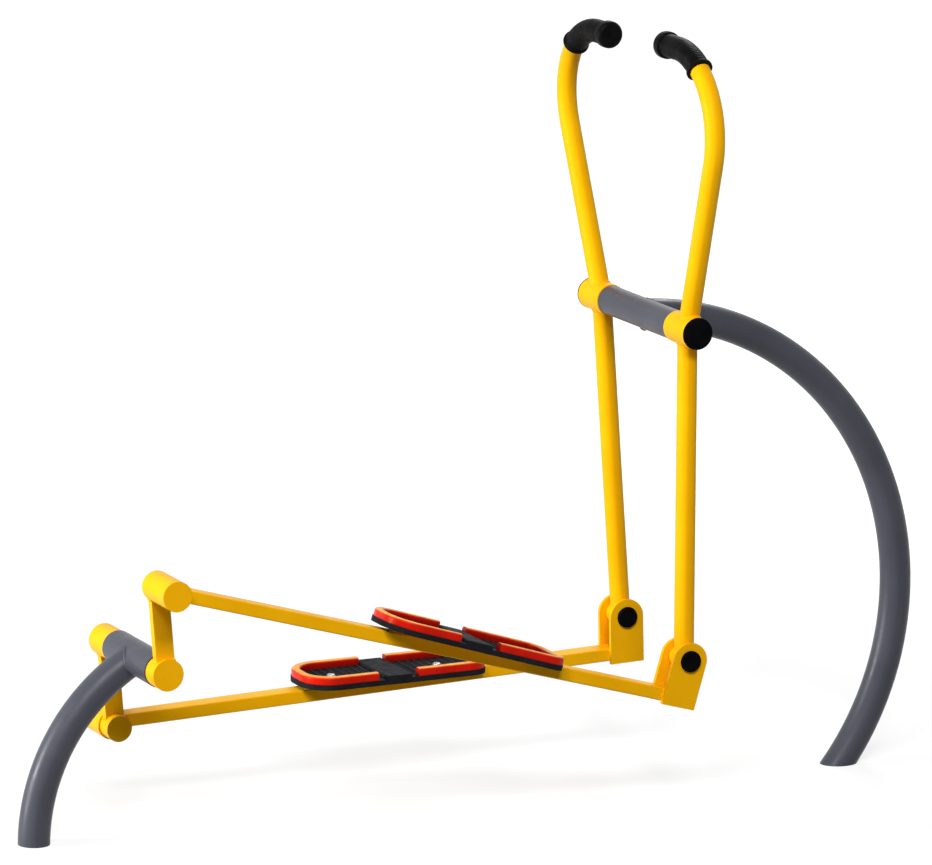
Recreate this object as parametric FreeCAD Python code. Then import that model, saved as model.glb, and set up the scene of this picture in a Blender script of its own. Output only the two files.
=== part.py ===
import FreeCAD, Part
import math
import os

from FreeCAD import Vector

# Outdoor elliptical cross trainer for children, in millimetres.
# X points from the rear post to the front arch, Y to the rider's left and Z up from the ground.
# The origin is on the ground, under the middle of the length, in the plane of both posts.
# The rider stands on two foot beams. Each beam hangs from a hand lever at its front and turns on a
# crank pin at its rear, so crank, beam, lever and frame make a four-bar linkage on each side.

# Posts: round tube, bent to one radius each. The rear post turns from upright towards level, and the
# arch leads from level under the crossbar round to the ground, where it has turned past upright.
post_od = 60.3
post_wall = 3.2
rear_post_turn_deg = 61.4
arch_lead_deg = 1.55
arch_foot_turn_deg = 36.7
arch_ahead_of_rear_foot = 1221.0

# Crossbar and its fixed axle, on top of the arch
bar_height = 919.0
bar_above_arch = 2.2
bar_od = 57.0
bar_wall = 4.0
bar_half = 141.0
axle_d = 25.0
bar_plug_length = 30.0

# Crank housing, on top of the rear post
crank_height = 338.0
housing_od = 63.5
housing_right_end = 118.0
housing_left_end = 87.0
seal_width = 3.0
spacer_wall = 3.5

# Crank: shaft, two bars and their bosses
crank_radius = 166.0
crank_lean_deg = -5.4
crank_shaft_d = 25.0
crank_side_gap = 2.0
hub_boss_od = 60.3
hub_boss_length = 37.0
hub_end_wall = 7.0
pin_boss_length = 29.6
left_pin_boss_od = 50.0
left_pin_boss_inset = 6.0
arm_width = 36.0
arm_thickness = 16.0
arm_inset = 12.5

# Sealed ball bearings: bore, outer diameter and width
large_bearing = {"bore": 25.0, "od": 52.0, "width": 15.0}
small_bearing = {"bore": 20.0, "od": 47.0, "width": 14.0}
bearing_setback = 3.0

# Hand levers
hub_sleeve_od = 60.3
hub_sleeve_length = 82.0
hub_side_gap = 0.5
lever_od = 38.0
lever_wall = 3.0
lever_drop = 632.0
lever_splay_deg = 16.5
lever_bend_radius = 155.0
lever_bend_height = 370.0
lever_end_y = 76.0
foot_sleeve_od = 44.0
foot_side_gap = 0.6
foot_bush_wall = 4.0
foot_bush_length = 16.0

# Covers and fasteners of the lever hub
hub_bearing_recess = 14.0
hub_cap_od = 61.0
hub_cap_height = 4.0
hub_cap_round = 2.0
hub_cap_wall = 2.0
hub_cap_spigot = 8.0
axle_nut_af = 36.0
axle_nut_height = 7.0
axle_washer_od = 40.0
axle_washer_height = 3.0

# Rubber hand grips
grip_od = 44.0
left_grip_start_deg = 49.0
right_grip_start_deg = 54.0
grip_collar_od = 51.0
grip_collar_length = 7.0
grip_knob_od = 52.0
grip_knob_length = 22.0
grip_end_wall = 4.0
grip_round = 6.0

# Foot beams: rectangular tube with a bearing sleeve behind and a clevis in front
beam_length = 1081.5
beam_width = 40.0
beam_depth = 25.0
beam_wall = 3.0
beam_plug_length = 4.0
pin_sleeve_od = 57.0
pin_sleeve_length = 82.0
pin_sleeve_cap = 3.0
pin_d = 20.0
pin_head_od = 28.0
pin_head_height = 5.0
open_pivot_gap = 0.4

# Clevis at the front of each beam
pivot_above_beam = 73.0
cheek_thickness = 8.0
cheek_radius = 35.0
cheek_below_beam = 5.0
clevis_bolt_d = 16.0
clevis_head_od = 30.0
clevis_head_height = 3.5
clevis_nut_height = 3.5
clevis_cap_od = 41.0
clevis_cap_height = 6.0
clevis_cap_wall = 1.8
clevis_cap_round = 2.5

# Pedals
left_pedal_from_pin = 574.0
right_pedal_from_pin = 615.0
pedal_length = 377.0
pedal_ahead = 5.0
pedal_rear_width = 152.0
pedal_front_width = 140.0
pedal_rear_corner = 62.0
pedal_front_corner = 34.0
pedal_base_height = 10.0
pedal_skin = 4.0
pedal_skirt = 6.0
pedal_nose_down_deg = 1.6
pedal_toe_drop = 3.0
pedal_bar_length = 54.0
pedal_bar_height = 7.0
pedal_bar_round = 4.0
rim_width = 17.0
rim_height = 15.0
rim_inset = 1.5
rim_round = 5.0
rim_gap_right_edge = 84.0
rim_gap_left_edge = 56.0
tread_rib_width = 4.0
tread_rib_height = 1.8
tread_rib_pitch = 16.0
bracket_length = 270.0
bracket_width = 108.0
bracket_plate = 3.0
bracket_corner = 15.0
pedal_bolt_spacing = 222.0
pedal_bolt_d = 10.0
pedal_bolt_head_od = 20.0
pedal_bolt_head_height = 4.5
pedal_bolt_grip = 28.0

# Clearances
weld_gap = 0.1
fit_gap = 0.05
running_gap = 0.08
beam_side_gap = 0.5
overrun = 20.0

# Places that follow from the sizes above
AXIS_Y = Vector(0, 1, 0)
SIDES = (("left", 1), ("right", -1))
rear_bend_radius = crank_height / math.sin(math.radians(rear_post_turn_deg))
arch_bend_radius = (bar_height - bar_above_arch) / (
    math.sin(math.radians(arch_foot_turn_deg)) + math.cos(math.radians(arch_lead_deg)))
arch_centre_height = arch_bend_radius * math.sin(math.radians(arch_foot_turn_deg))
rear_x = -(arch_ahead_of_rear_foot + arch_bend_radius) / 2
arch_x = rear_x + arch_ahead_of_rear_foot
bar_x = arch_x + arch_bend_radius * math.sin(math.radians(arch_lead_deg))
crank_x = rear_x + rear_bend_radius * (1 - math.cos(math.radians(rear_post_turn_deg)))
lever_y = bar_half + hub_side_gap + hub_sleeve_length / 2
hub_inner_y = housing_right_end + crank_side_gap
arm_inner_y = hub_inner_y + arm_inset
pin_sleeve_y = hub_inner_y + pin_boss_length + open_pivot_gap
beam_run = math.sqrt(beam_length ** 2 - pivot_above_beam ** 2)
pedal_heel = pedal_ahead - pedal_length / 2
pedal_toe = pedal_ahead + pedal_length / 2
pedal_lift = pedal_toe * math.sin(math.radians(pedal_nose_down_deg)) - pedal_toe_drop


def pin_place(side):
    """Crank pin centre in X and Z: the right pin is up and the left one down."""
    lean = math.radians(crank_lean_deg)
    return (crank_x - side * crank_radius * math.sin(lean),
            crank_height - side * crank_radius * math.cos(lean))


def lever_lean(side):
    """Angle of a lever from straight down, forward positive, that its beam's length gives."""
    pin_x, pin_z = pin_place(side)
    reach = math.hypot(bar_x - pin_x, bar_height - pin_z)
    cosine = (reach ** 2 + lever_drop ** 2 - beam_length ** 2) / (2 * reach * lever_drop)
    return math.acos(cosine) - math.atan2(bar_x - pin_x, bar_height - pin_z)


def lever_foot(side):
    lean = lever_lean(side)
    return (bar_x + lever_drop * math.sin(lean), bar_height - lever_drop * math.cos(lean))


def beam_pitch(side):
    """Angle of a beam above level, front end up positive."""
    pin_x, pin_z = pin_place(side)
    foot_x, foot_z = lever_foot(side)
    return math.atan2(foot_z - pin_z, foot_x - pin_x) - math.atan2(pivot_above_beam, beam_run)


def mirrored(shape, side):
    """The left piece, or its mirror image for the right."""
    return shape if side > 0 else shape.mirror(Vector(0, 0, 0), AXIS_Y)


def on_lever(shape, side):
    shape = mirrored(shape, side)
    shape.rotate(Vector(0, 0, 0), AXIS_Y, -math.degrees(lever_lean(side)))
    shape.translate(Vector(bar_x, 0, bar_height))
    return shape


def on_beam(shape, side):
    pin_x, pin_z = pin_place(side)
    shape = mirrored(shape, side)
    shape.rotate(Vector(0, 0, 0), AXIS_Y, -math.degrees(beam_pitch(side)))
    shape.translate(Vector(pin_x, 0, pin_z))
    return shape


def on_crank(shape, side):
    turn = 180.0 if side > 0 else 0.0
    shape = mirrored(shape, side)
    shape.rotate(Vector(0, 0, 0), AXIS_Y, crank_lean_deg + turn)
    shape.translate(Vector(crank_x, 0, crank_height))
    return shape


def rod(diameter, y_low, y_high, x=0, z=0):
    """Solid cylinder along Y."""
    return Part.makeCylinder(diameter / 2, y_high - y_low, Vector(x, y_low, z), AXIS_Y)


def ring(outer, inner, y_low, y_high, x=0, z=0):
    """Hollow cylinder along Y."""
    bore = rod(inner, y_low - overrun, y_high + overrun, x, z)
    return rod(outer, y_low, y_high, x, z).cut(bore)


def bearing(size, y_low, x=0, z=0):
    """Sealed bearing as one ring, a fit in its seat and on its shaft."""
    outer, bore = size["od"] - 2 * fit_gap, size["bore"] + 2 * running_gap
    return ring(outer, bore, y_low, y_low + size["width"], x, z)


def hexagon(across_flats, y_low, y_high, x=0, z=0):
    """Hexagonal prism along Y."""
    reach = across_flats / math.sqrt(3)
    turns = [math.pi * i / 3 for i in range(7)]
    corners = [Vector(x + reach * math.cos(turn), y_low, z + reach * math.sin(turn)) for turn in turns]
    return Part.Face(Part.makePolygon(corners)).extrude(Vector(0, y_high - y_low, 0))


def swept(path, diameter, start, direction):
    """Round bar along a path of lines and tangent arcs."""
    circle = Part.Wire(Part.makeCircle(diameter / 2, start, direction))
    return path.makePipeShell([circle], True, False)


def rounded_face(corners, radii):
    """Flat face in the XY plane through the corners, each rounded by its radius."""
    edges = []
    ends = []
    count = len(corners)
    for i in range(count):
        corner = corners[i]
        back = (corners[i - 1] - corner).normalize()
        ahead = (corners[(i + 1) % count] - corner).normalize()
        half = back.getAngle(ahead) / 2
        trim = radii[i] / math.tan(half)
        middle = (back + ahead).normalize()
        centre = corner + middle * (radii[i] / math.sin(half))
        ends.append((corner + back * trim, centre - middle * radii[i], corner + ahead * trim))
    for i in range(count):
        first, between, last = ends[i]
        edges.append(Part.Arc(first, between, last).toShape())
        following = ends[(i + 1) % count][0]
        if last.distanceToPoint(following) > fit_gap:
            edges.append(Part.LineSegment(last, following).toShape())
    return Part.Face(Part.Wire(edges))


def raised(face, z_low, z_high):
    """Flat face as a plate between two heights."""
    solid = face.extrude(Vector(0, 0, z_high - z_low))
    solid.translate(Vector(0, 0, z_low))
    return solid


def save(name, shape):
    shape.exportStep("parts/" + name + ".step")


def save_group(name, shapes):
    save(name, Part.makeCompound(shapes))


# Frame
def bent_post(centre_x, centre_z, start, turn_deg):
    """Tube bent to one radius about a Y axis, from the start point on."""
    centre = Vector(centre_x, 0, centre_z)
    tangent = AXIS_Y.cross(start - centre)
    outer = Part.Face(Part.Wire(Part.makeCircle(post_od / 2, start, tangent)))
    inner = Part.Face(Part.Wire(Part.makeCircle(post_od / 2 - post_wall, start, tangent)))
    return outer.cut(inner).revolve(centre, AXIS_Y, turn_deg)


def rear_post():
    """Quarter bend from the ground, mitred to the underside of the crank housing."""
    post = bent_post(rear_x + rear_bend_radius, 0, Vector(rear_x, 0, 0), rear_post_turn_deg)
    return post.cut(rod(housing_od + 2 * weld_gap, -post_od, post_od, crank_x, crank_height))


def front_post():
    """Arch from the crossbar forward, down and back to the ground, cut level there."""
    start = Vector(bar_x, 0, bar_height - bar_above_arch)
    below = math.asin((arch_centre_height + post_od) / arch_bend_radius)
    post = bent_post(arch_x, arch_centre_height, start, 90 + math.degrees(below) - arch_lead_deg)
    post = post.cut(rod(bar_od + 2 * weld_gap, -bar_half, bar_half, bar_x, bar_height))
    ground = Part.makeBox(2 * arch_bend_radius, 2 * post_od, 2 * post_od)
    ground.translate(Vector(arch_x, -post_od, -2 * post_od))
    return post.cut(ground)


def make_housing():
    """Tube across the rear post, longer to the right, with a bearing and a seal at each end."""
    save("crank_housing", ring(housing_od, large_bearing["od"], -housing_right_end, housing_left_end,
                               crank_x, crank_height))
    left_seat = housing_left_end - seal_width - large_bearing["width"]
    save_group("crank_bearings", [bearing(large_bearing, y, crank_x, crank_height)
                                  for y in (-housing_right_end + seal_width, left_seat)])
    seal_od = large_bearing["od"] - 2 * fit_gap
    seal_bore = crank_shaft_d + 2 * running_gap
    save_group("crank_seals", [ring(seal_od, seal_bore, y, y + seal_width, crank_x, crank_height)
                               for y in (-housing_right_end, housing_left_end - seal_width)])


def make_crossbar():
    """Tube on top of the arch, with a fixed axle right through it that carries both levers."""
    save("crossbar", ring(bar_od, bar_od - 2 * bar_wall, -bar_half, bar_half, bar_x, bar_height))
    plug_od = bar_od - 2 * bar_wall - 2 * fit_gap
    axle_bore = axle_d + 2 * fit_gap
    save_group("crossbar_plugs", [ring(plug_od, axle_bore, y, y + bar_plug_length, bar_x, bar_height)
                                  for y in (-bar_half, bar_half - bar_plug_length)])
    nut_y = lever_y + hub_sleeve_length / 2 - hub_bearing_recess + axle_washer_height
    nut_end = nut_y + axle_nut_height
    save("crossbar_axle", rod(axle_d, -nut_end, nut_end, bar_x, bar_height))
    washers = [ring(axle_washer_od, axle_bore, y, y + axle_washer_height, bar_x, bar_height)
               for y in (-nut_y, nut_y - axle_washer_height)]
    save_group("axle_washers", washers)
    nut_bore = rod(axle_bore, -nut_end - overrun, nut_end + overrun, bar_x, bar_height)
    save_group("axle_nuts", [hexagon(axle_nut_af, y, y + axle_nut_height, bar_x, bar_height).cut(nut_bore)
                             for y in (-nut_end, nut_y)])


# Crank
def crank_arm(housing_end, boss_od, boss_low):
    """Flat bar between the boss on the shaft, which reaches in to the housing, and the pin's boss."""
    hub_low = housing_end + crank_side_gap
    hub = rod(hub_boss_od, hub_low, hub_inner_y + hub_boss_length)
    boss = rod(boss_od, boss_low, hub_inner_y + pin_boss_length, 0, crank_radius)
    bar = Part.makeBox(arm_width, arm_thickness, crank_radius, Vector(-arm_width / 2, arm_inner_y, 0))
    shaft_end = hub_inner_y + hub_boss_length - hub_end_wall
    bore = rod(crank_shaft_d + 2 * fit_gap, hub_low - overrun, shaft_end + fit_gap)
    return hub.fuse(bar).fuse(boss).cut(bore).removeSplitter()


def make_crank():
    shaft_end = hub_inner_y + hub_boss_length - hub_end_wall
    save("crank_shaft", rod(crank_shaft_d, -shaft_end, shaft_end, crank_x, crank_height))
    setback = seal_width + large_bearing["width"] + running_gap
    spacer_bore = crank_shaft_d + 2 * fit_gap
    spacer_od = spacer_bore + 2 * spacer_wall
    save("bearing_spacer", ring(spacer_od, spacer_bore, setback - housing_right_end,
                                housing_left_end - setback, crank_x, crank_height))
    left_arm = crank_arm(housing_left_end, left_pin_boss_od, hub_inner_y - left_pin_boss_inset)
    right_arm = crank_arm(housing_right_end, pin_sleeve_od, arm_inner_y)
    save("crank_arm_left", on_crank(left_arm, 1))
    save("crank_arm_right", on_crank(right_arm, -1))


# Hand levers, modelled for the left with the hub axis at the origin and the lever straight down
def lever_path():
    """Upper tube's centre line: splayed run, bend and short level run, and the bend's centre."""
    splay = math.radians(lever_splay_deg)
    bend_z = lever_bend_height
    start_z = bend_z - lever_bend_radius * math.sin(splay)
    start = Vector(0, lever_y + start_z * math.tan(splay), start_z)
    centre = start - Vector(0, lever_bend_radius * math.cos(splay), -lever_bend_radius * math.sin(splay))
    return Vector(0, lever_y, 0), start, centre


def on_bend(centre, turn_deg):
    """Point of the upper tube's bend: 0 where the tube is widest, 90 where it is level."""
    turn = math.radians(turn_deg)
    return centre + Vector(0, lever_bend_radius * math.cos(turn), lever_bend_radius * math.sin(turn))


def upper_tube():
    base, start, centre = lever_path()
    top = on_bend(centre, 90)
    end = Vector(0, lever_end_y, top.z)
    middle = on_bend(centre, (90 - lever_splay_deg) / 2)
    path = Part.Wire([Part.LineSegment(base, start).toShape(), Part.Arc(start, middle, top).toShape(),
                      Part.LineSegment(top, end).toShape()])
    outer = swept(path, lever_od, base, start - base)
    inner = swept(path, lever_od - 2 * lever_wall, base, start - base)
    sleeve = rod(hub_sleeve_od + 2 * weld_gap, 0, 2 * lever_y)
    return outer.cut(inner).cut(sleeve)


def lower_tube():
    foot = Vector(0, lever_y, -lever_drop)
    tube = Part.makeCylinder(lever_od / 2, lever_drop, foot)
    tube = tube.cut(Part.makeCylinder(lever_od / 2 - lever_wall, lever_drop, foot))
    tube = tube.cut(rod(hub_sleeve_od + 2 * weld_gap, 0, 2 * lever_y))
    return tube.cut(rod(foot_sleeve_od + 2 * weld_gap, 0, 2 * lever_y, 0, -lever_drop))


def grip(start_deg):
    """Rubber sleeve over the bend's end, with a collar behind the hand and a knob at the end."""
    start, centre = lever_path()[1:]
    first = on_bend(centre, start_deg)
    middle = on_bend(centre, (start_deg + 90) / 2)
    top = on_bend(centre, 90)
    tube_end = Vector(0, lever_end_y, top.z)
    end = tube_end - Vector(0, grip_end_wall, 0)
    along = Vector(1, 0, 0).cross(first - centre).normalize()
    bend = Part.Arc(first, middle, top).toShape()
    body = swept(Part.Wire([bend, Part.LineSegment(top, end).toShape()]), grip_od, first, along)
    collar = Part.makeCylinder(grip_collar_od / 2, grip_collar_length, first, along)
    knob = Part.makeCylinder(grip_knob_od / 2, grip_knob_length, end, AXIS_Y)
    knob = knob.makeFillet(grip_round, [edge for edge in knob.Edges if not edge.isSeam(knob.Faces[0])][:2])
    bore_path = Part.Wire([Part.LineSegment(first - along * overrun, first).toShape(), bend,
                           Part.LineSegment(top, tube_end - Vector(0, fit_gap, 0)).toShape()])
    bore = swept(bore_path, lever_od + 2 * fit_gap, first - along * overrun, along)
    return body.fuse(collar).fuse(knob).cut(bore).removeSplitter()


def hub_cap():
    """Moulded plug: a rounded flange on the hub sleeve's end and a spigot round the axle nut."""
    inner = lever_y + hub_sleeve_length / 2 + fit_gap
    outer = inner + hub_cap_height
    cap = rod(hub_cap_od, inner, outer)
    rim = [edge for edge in cap.Edges if edge.BoundBox.YMin > outer - fit_gap]
    cap = cap.makeFillet(hub_cap_round, rim)
    spigot_od = large_bearing["od"] - 2 * fit_gap
    spigot = ring(spigot_od, spigot_od - 2 * hub_cap_wall, inner - hub_cap_spigot, inner)
    return cap.fuse(spigot).removeSplitter()


def make_lever(name, side):
    sleeve_low = lever_y - hub_sleeve_length / 2
    sleeve_high = lever_y + hub_sleeve_length / 2
    sleeve = ring(hub_sleeve_od, large_bearing["od"], sleeve_low, sleeve_high)
    save("hub_sleeve_" + name, on_lever(sleeve, side))
    outer_seat = sleeve_high - hub_bearing_recess - large_bearing["width"] - running_gap
    bearings = [bearing(large_bearing, sleeve_low + bearing_setback), bearing(large_bearing, outer_seat)]
    save_group("lever_bearings_" + name, [on_lever(piece, side) for piece in bearings])
    save("upper_tube_" + name, on_lever(upper_tube(), side))
    save("lower_tube_" + name, on_lever(lower_tube(), side))
    grip_start_deg = left_grip_start_deg if side > 0 else right_grip_start_deg
    save("grip_" + name, on_lever(grip(grip_start_deg), side))
    save("hub_cap_" + name, on_lever(hub_cap(), side))
    half = beam_width / 2 - foot_side_gap
    bush_od = clevis_bolt_d + 2 * foot_bush_wall
    foot = ring(foot_sleeve_od, bush_od, lever_y - half, lever_y + half, 0, -lever_drop)
    save("foot_sleeve_" + name, on_lever(foot, side))
    bush_bore = clevis_bolt_d + 2 * running_gap
    bushes = [ring(bush_od - 2 * fit_gap, bush_bore, y, y + foot_bush_length, 0, -lever_drop)
              for y in (lever_y - half, lever_y + half - foot_bush_length)]
    save_group("foot_bushes_" + name, [on_lever(bush, side) for bush in bushes])


# Foot beams, modelled for the left with the crank pin at the origin and the beam along X
def beam_tube(side):
    """Rectangular tube, mitred to the bearing sleeve and drilled for the pedal's two bolts."""
    front = beam_run + cheek_radius
    outer = Part.makeBox(front, beam_width, beam_depth,
                         Vector(0, lever_y - beam_width / 2, -beam_depth / 2))
    inner = Part.makeBox(front, beam_width - 2 * beam_wall, beam_depth - 2 * beam_wall,
                         Vector(0, lever_y - beam_width / 2 + beam_wall, -beam_depth / 2 + beam_wall))
    long_edges = [edge for edge in outer.Edges if edge.Length > front - fit_gap]
    tube = outer.makeFillet(beam_wall, long_edges).cut(inner)
    tube = tube.cut(rod(pin_sleeve_od + 2 * weld_gap, 0, 2 * lever_y))
    for bolt_x in (-pedal_bolt_spacing / 2, pedal_bolt_spacing / 2):
        hole = Part.makeCylinder(pedal_bolt_d / 2 + weld_gap, beam_depth,
                                 Vector(bolt_x, lever_y, 2 * beam_wall - beam_depth))
        tube = tube.cut(on_pedal(hole, side))
    return tube


def beam_plug():
    """Plate that closes the tube's front end."""
    low = beam_run + cheek_radius - beam_plug_length
    gap = beam_wall + fit_gap
    return Part.makeBox(beam_plug_length, beam_width - 2 * gap, beam_depth - 2 * gap,
                        Vector(low, lever_y - beam_width / 2 + gap, -beam_depth / 2 + gap))


def cheek(y_low):
    """Clevis ear: plate with a full round top about the pivot, to just below the beam's underside."""
    low = -beam_depth / 2 - cheek_below_beam
    plate = Part.makeBox(2 * cheek_radius, cheek_thickness, pivot_above_beam - low,
                         Vector(beam_run - cheek_radius, y_low, low))
    y_high = y_low + cheek_thickness
    plate = plate.fuse(rod(2 * cheek_radius, y_low, y_high, beam_run, pivot_above_beam))
    hole = rod(clevis_bolt_d + 2 * fit_gap, y_low - overrun, y_high + overrun, beam_run, pivot_above_beam)
    return plate.removeSplitter().cut(hole)


def clevis_cap(y_face, outward):
    """Round cap that covers one end of the clevis bolt."""
    y_end = y_face + outward * clevis_cap_height
    cap = rod(clevis_cap_od, min(y_face, y_end), max(y_face, y_end), beam_run, pivot_above_beam)
    rim = [edge for edge in cap.Edges
           if abs(edge.BoundBox.YMin - y_end) < fit_gap and edge.BoundBox.YLength < fit_gap]
    cap = cap.makeFillet(clevis_cap_round, rim)
    deep = y_end - outward * clevis_cap_wall
    back = y_face - outward * overrun
    hollow_d = clevis_cap_od - 4 * clevis_cap_wall
    return cap.cut(rod(hollow_d, min(back, deep), max(back, deep), beam_run, pivot_above_beam))


def on_pedal(shape, side):
    """Moves a piece from the pedal's own frame, under its raised bar, to its place on the beam."""
    from_pin = left_pedal_from_pin if side > 0 else right_pedal_from_pin
    shape.rotate(Vector(0, lever_y, 0), AXIS_Y, pedal_nose_down_deg)
    shape.translate(Vector(from_pin, 0, beam_depth / 2 + pedal_lift))
    return shape


def pedal_face(inset):
    """Outline of the pedal, broad and round at the heel and narrower at the toe."""
    heel, toe = pedal_heel + inset, pedal_toe - inset
    wide, narrow = pedal_rear_width / 2 - inset, pedal_front_width / 2 - inset
    corners = [Vector(heel, lever_y - wide, 0), Vector(toe, lever_y - narrow, 0),
               Vector(toe, lever_y + narrow, 0), Vector(heel, lever_y + wide, 0)]
    heel_round, toe_round = pedal_rear_corner - inset, pedal_front_corner - inset
    return rounded_face(corners, [heel_round, toe_round, toe_round, heel_round])


def pedal_base(side):
    """Moulded tray, hollow below, with cross ribs and a raised bar, notched over the beam at the toe."""
    base = raised(pedal_face(0), 0, pedal_base_height)
    base = base.cut(raised(pedal_face(pedal_skirt), -overrun, pedal_base_height - pedal_skin))
    floor = pedal_face(rim_inset + rim_width + weld_gap)
    width = pedal_rear_width
    root = pedal_base_height - pedal_skin / 2
    bar = Part.makeBox(pedal_bar_length, width, pedal_bar_height + pedal_skin / 2,
                       Vector(-pedal_bar_length / 2, lever_y - width / 2, root))
    top = pedal_base_height + pedal_bar_height
    edges = [edge for edge in bar.Edges
             if edge.BoundBox.ZMin > top - fit_gap and edge.BoundBox.YLength > width / 2]
    bar = bar.makeFillet(pedal_bar_round, edges).common(raised(pedal_face(rim_inset), 0, 2 * top))
    base = base.fuse(bar)
    rib_top = pedal_base_height + tread_rib_height
    first = pedal_bar_length / 2 + tread_rib_pitch / 2
    ribs = []
    for way in (-1, 1):
        stop = pedal_length / 2 + way * pedal_ahead - rim_inset - rim_width - tread_rib_width
        for step in range(int((stop - first) / tread_rib_pitch) + 1):
            middle = way * (first + step * tread_rib_pitch)
            rib = Part.makeBox(tread_rib_width, width, tread_rib_height + pedal_skin / 2)
            rib.translate(Vector(middle - tread_rib_width / 2, lever_y - width / 2, root))
            ribs.append(rib)
    tread = Part.makeCompound(ribs).common(raised(floor, 0, rib_top))
    base = base.fuse(tread)
    for bolt_x in (-pedal_bolt_spacing / 2, pedal_bolt_spacing / 2):
        seat = Part.makeCylinder(pedal_bolt_head_od / 2 + fit_gap, overrun,
                                 Vector(bolt_x, lever_y, pedal_base_height))
        hole = Part.makeCylinder(pedal_bolt_d / 2 + fit_gap, 2 * overrun, Vector(bolt_x, lever_y, -overrun))
        base = base.cut(seat).cut(hole)
    base = on_pedal(base.removeSplitter(), side)
    half = beam_width / 2 + beam_side_gap
    over_beam = Part.makeBox(beam_length, 2 * half, beam_depth + beam_side_gap,
                             Vector(0, lever_y - half, -beam_depth / 2))
    return base.cut(over_beam)


def pedal_rim(way, side):
    """U-shaped raised border round the heel (way -1) or the toe (way 1), longer at its left edge."""
    low = pedal_base_height + weld_gap
    high = low + rim_height
    border = pedal_face(rim_inset).cut(pedal_face(rim_inset + rim_width))
    rim = raised(border, low, high)
    for edge_way, gap in ((side, rim_gap_left_edge), (-side, rim_gap_right_edge)):
        reach = pedal_length + way * gap / 2
        other = Part.makeBox(reach, pedal_rear_width, 4 * rim_height)
        other.translate(Vector(-pedal_length if way > 0 else -gap / 2,
                               lever_y if edge_way > 0 else lever_y - pedal_rear_width, 0))
        rim = rim.cut(other)
    rim = rim.Solids[0]
    upper = [edge for edge in rim.Edges
             if edge.BoundBox.ZMin > high - fit_gap and edge.Length > rim_width + weld_gap]
    return rim.makeFillet(rim_round, upper)


def pedal_bracket(side):
    """Steel plate welded on the beam through a wedge that tips the pedal's toe down."""
    plate_top = pedal_base_height - pedal_skin - weld_gap
    half_length, half_width = bracket_length / 2, bracket_width / 2
    corners = [Vector(-half_length, lever_y - half_width, 0), Vector(half_length, lever_y - half_width, 0),
               Vector(half_length, lever_y + half_width, 0), Vector(-half_length, lever_y + half_width, 0)]
    plate = raised(rounded_face(corners, [bracket_corner] * 4), plate_top - bracket_plate, plate_top)
    wedge_half = beam_width / 2 - beam_wall
    wedge = Part.makeBox(bracket_length, 2 * wedge_half, overrun + plate_top - bracket_plate / 2,
                         Vector(-half_length, lever_y - wedge_half, -overrun))
    bracket = on_pedal(plate.fuse(wedge), side)
    below = Part.makeBox(beam_length, 2 * beam_width, 2 * overrun,
                         Vector(0, lever_y - beam_width, beam_depth / 2 + weld_gap - 2 * overrun))
    bracket = bracket.cut(below)
    for bolt_x in (-pedal_bolt_spacing / 2, pedal_bolt_spacing / 2):
        hole = Part.makeCylinder(pedal_bolt_d / 2 + fit_gap, 4 * overrun,
                                 Vector(bolt_x, lever_y, -2 * overrun))
        bracket = bracket.cut(on_pedal(hole, side))
    return bracket.removeSplitter()


def pedal_bolt(bolt_x):
    """Low round head on the tread, with a shank through plate, wedge and the beam's top wall."""
    seat = pedal_base_height + fit_gap
    head = Part.makeCone(pedal_bolt_head_od / 2, pedal_bolt_head_od / 2 - pedal_bolt_head_height / 2,
                         pedal_bolt_head_height, Vector(bolt_x, lever_y, seat))
    shank = Part.makeCylinder(pedal_bolt_d / 2, pedal_bolt_grip,
                              Vector(bolt_x, lever_y, seat - pedal_bolt_grip))
    socket = Part.makeCylinder(pedal_bolt_d / 4, pedal_bolt_head_height / 2,
                               Vector(bolt_x, lever_y, seat + pedal_bolt_head_height / 2))
    return head.fuse(shank).cut(socket)


def crank_pin(sleeve_high):
    """Shouldered pin whose head keeps the outer bearing on."""
    head_y = sleeve_high - pin_head_height - bearing_setback
    head = rod(pin_head_od, head_y, head_y + pin_head_height)
    return rod(pin_d, pin_sleeve_y, head_y).fuse(head).removeSplitter()


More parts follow.
